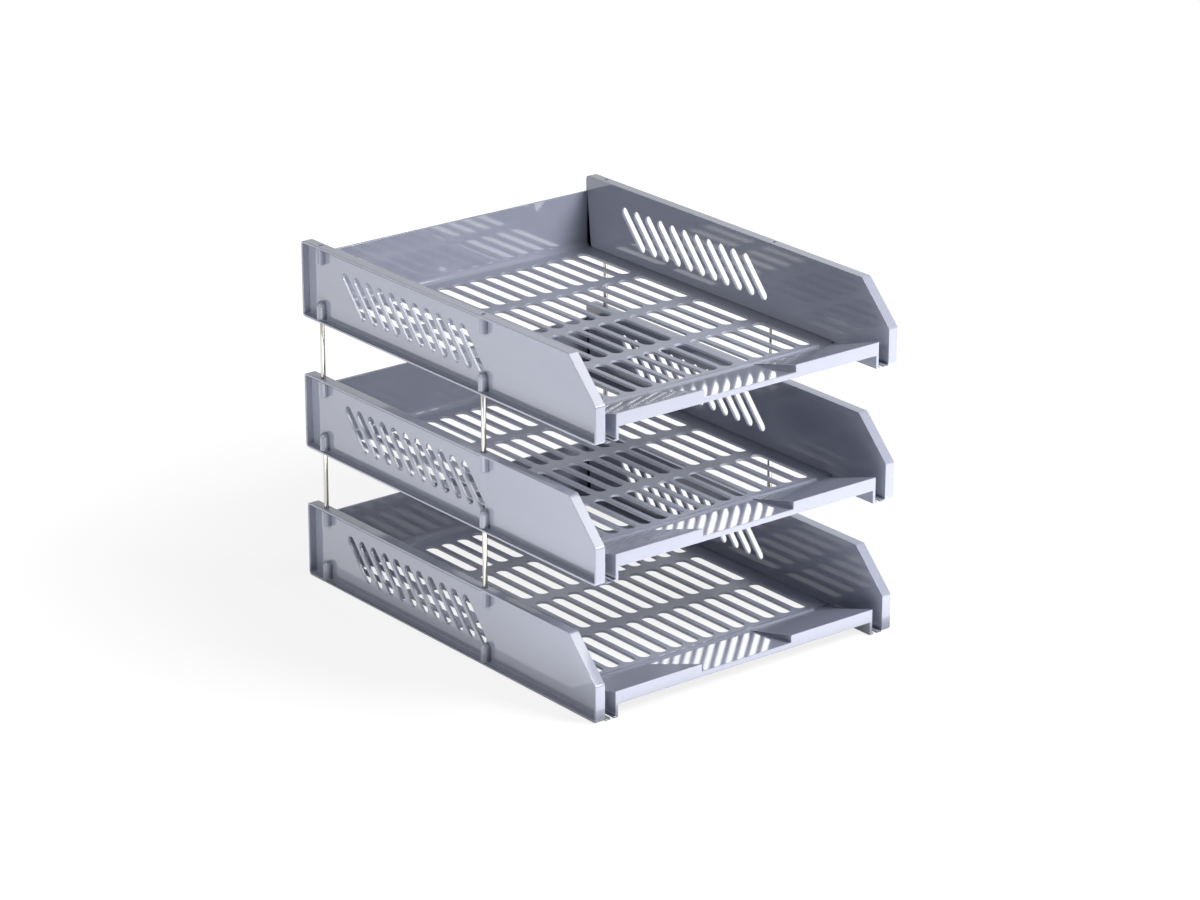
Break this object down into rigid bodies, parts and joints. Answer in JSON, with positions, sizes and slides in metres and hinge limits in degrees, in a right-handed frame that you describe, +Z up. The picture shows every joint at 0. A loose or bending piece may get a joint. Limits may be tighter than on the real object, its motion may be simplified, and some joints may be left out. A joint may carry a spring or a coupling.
{
  "type": "tiered document tray",
  "caption": "Stack of open document trays with slotted floors, slanted front corners and thumb notches, held apart by thin steel rods in sockets of the side panels.",
  "frame": {"origin": "centre of the footprint, on the surface that the bottom tray stands on", "axes": "+X to the right as seen from the front, +Y from the open front to the back wall, +Z up"},
  "size_m": [0.266, 0.34, 0.257],
  "materials": {
    "tray_plastic": "smooth glossy moulding, blue-grey",
    "rod_steel": "bright plated, slightly warm"
  },
  "bodies": {
    "bottom_tier": {"bottom_tray_base": "tray_plastic", "bottom_left_panel": "tray_plastic", "bottom_right_panel": "tray_plastic"},
    "lower_rods": {"lower_rod_front_left": "rod_steel", "lower_rod_front_right": "rod_steel", "lower_rod_back_left": "rod_steel", "lower_rod_back_right": "rod_steel"},
    "middle_tier": {"middle_tray_base": "tray_plastic", "middle_left_panel": "tray_plastic", "middle_right_panel": "tray_plastic"},
    "upper_rods": {"upper_rod_front_left": "rod_steel", "upper_rod_front_right": "rod_steel", "upper_rod_back_left": "rod_steel", "upper_rod_back_right": "rod_steel"},
    "top_tier": {"top_tray_base": "tray_plastic", "top_left_panel": "tray_plastic", "top_right_panel": "tray_plastic"}
  },
  "joints": [
    {"name": "lower_rods_pull", "type": "slide", "parent": "bottom_tier", "child": "lower_rods", "axis": [0, 0, 1], "range_m": [0, 0.03]},
    {"name": "middle_tier_lift", "type": "slide", "parent": "lower_rods", "child": "middle_tier", "axis": [0, 0, 1], "range_m": [0, 0.06]},
    {"name": "upper_rods_pull", "type": "slide", "parent": "middle_tier", "child": "upper_rods", "axis": [0, 0, 1], "range_m": [0, 0.03]},
    {"name": "top_tier_lift", "type": "slide", "parent": "upper_rods", "child": "top_tier", "axis": [0, 0, 1], "range_m": [0, 0.06]}
  ]
}
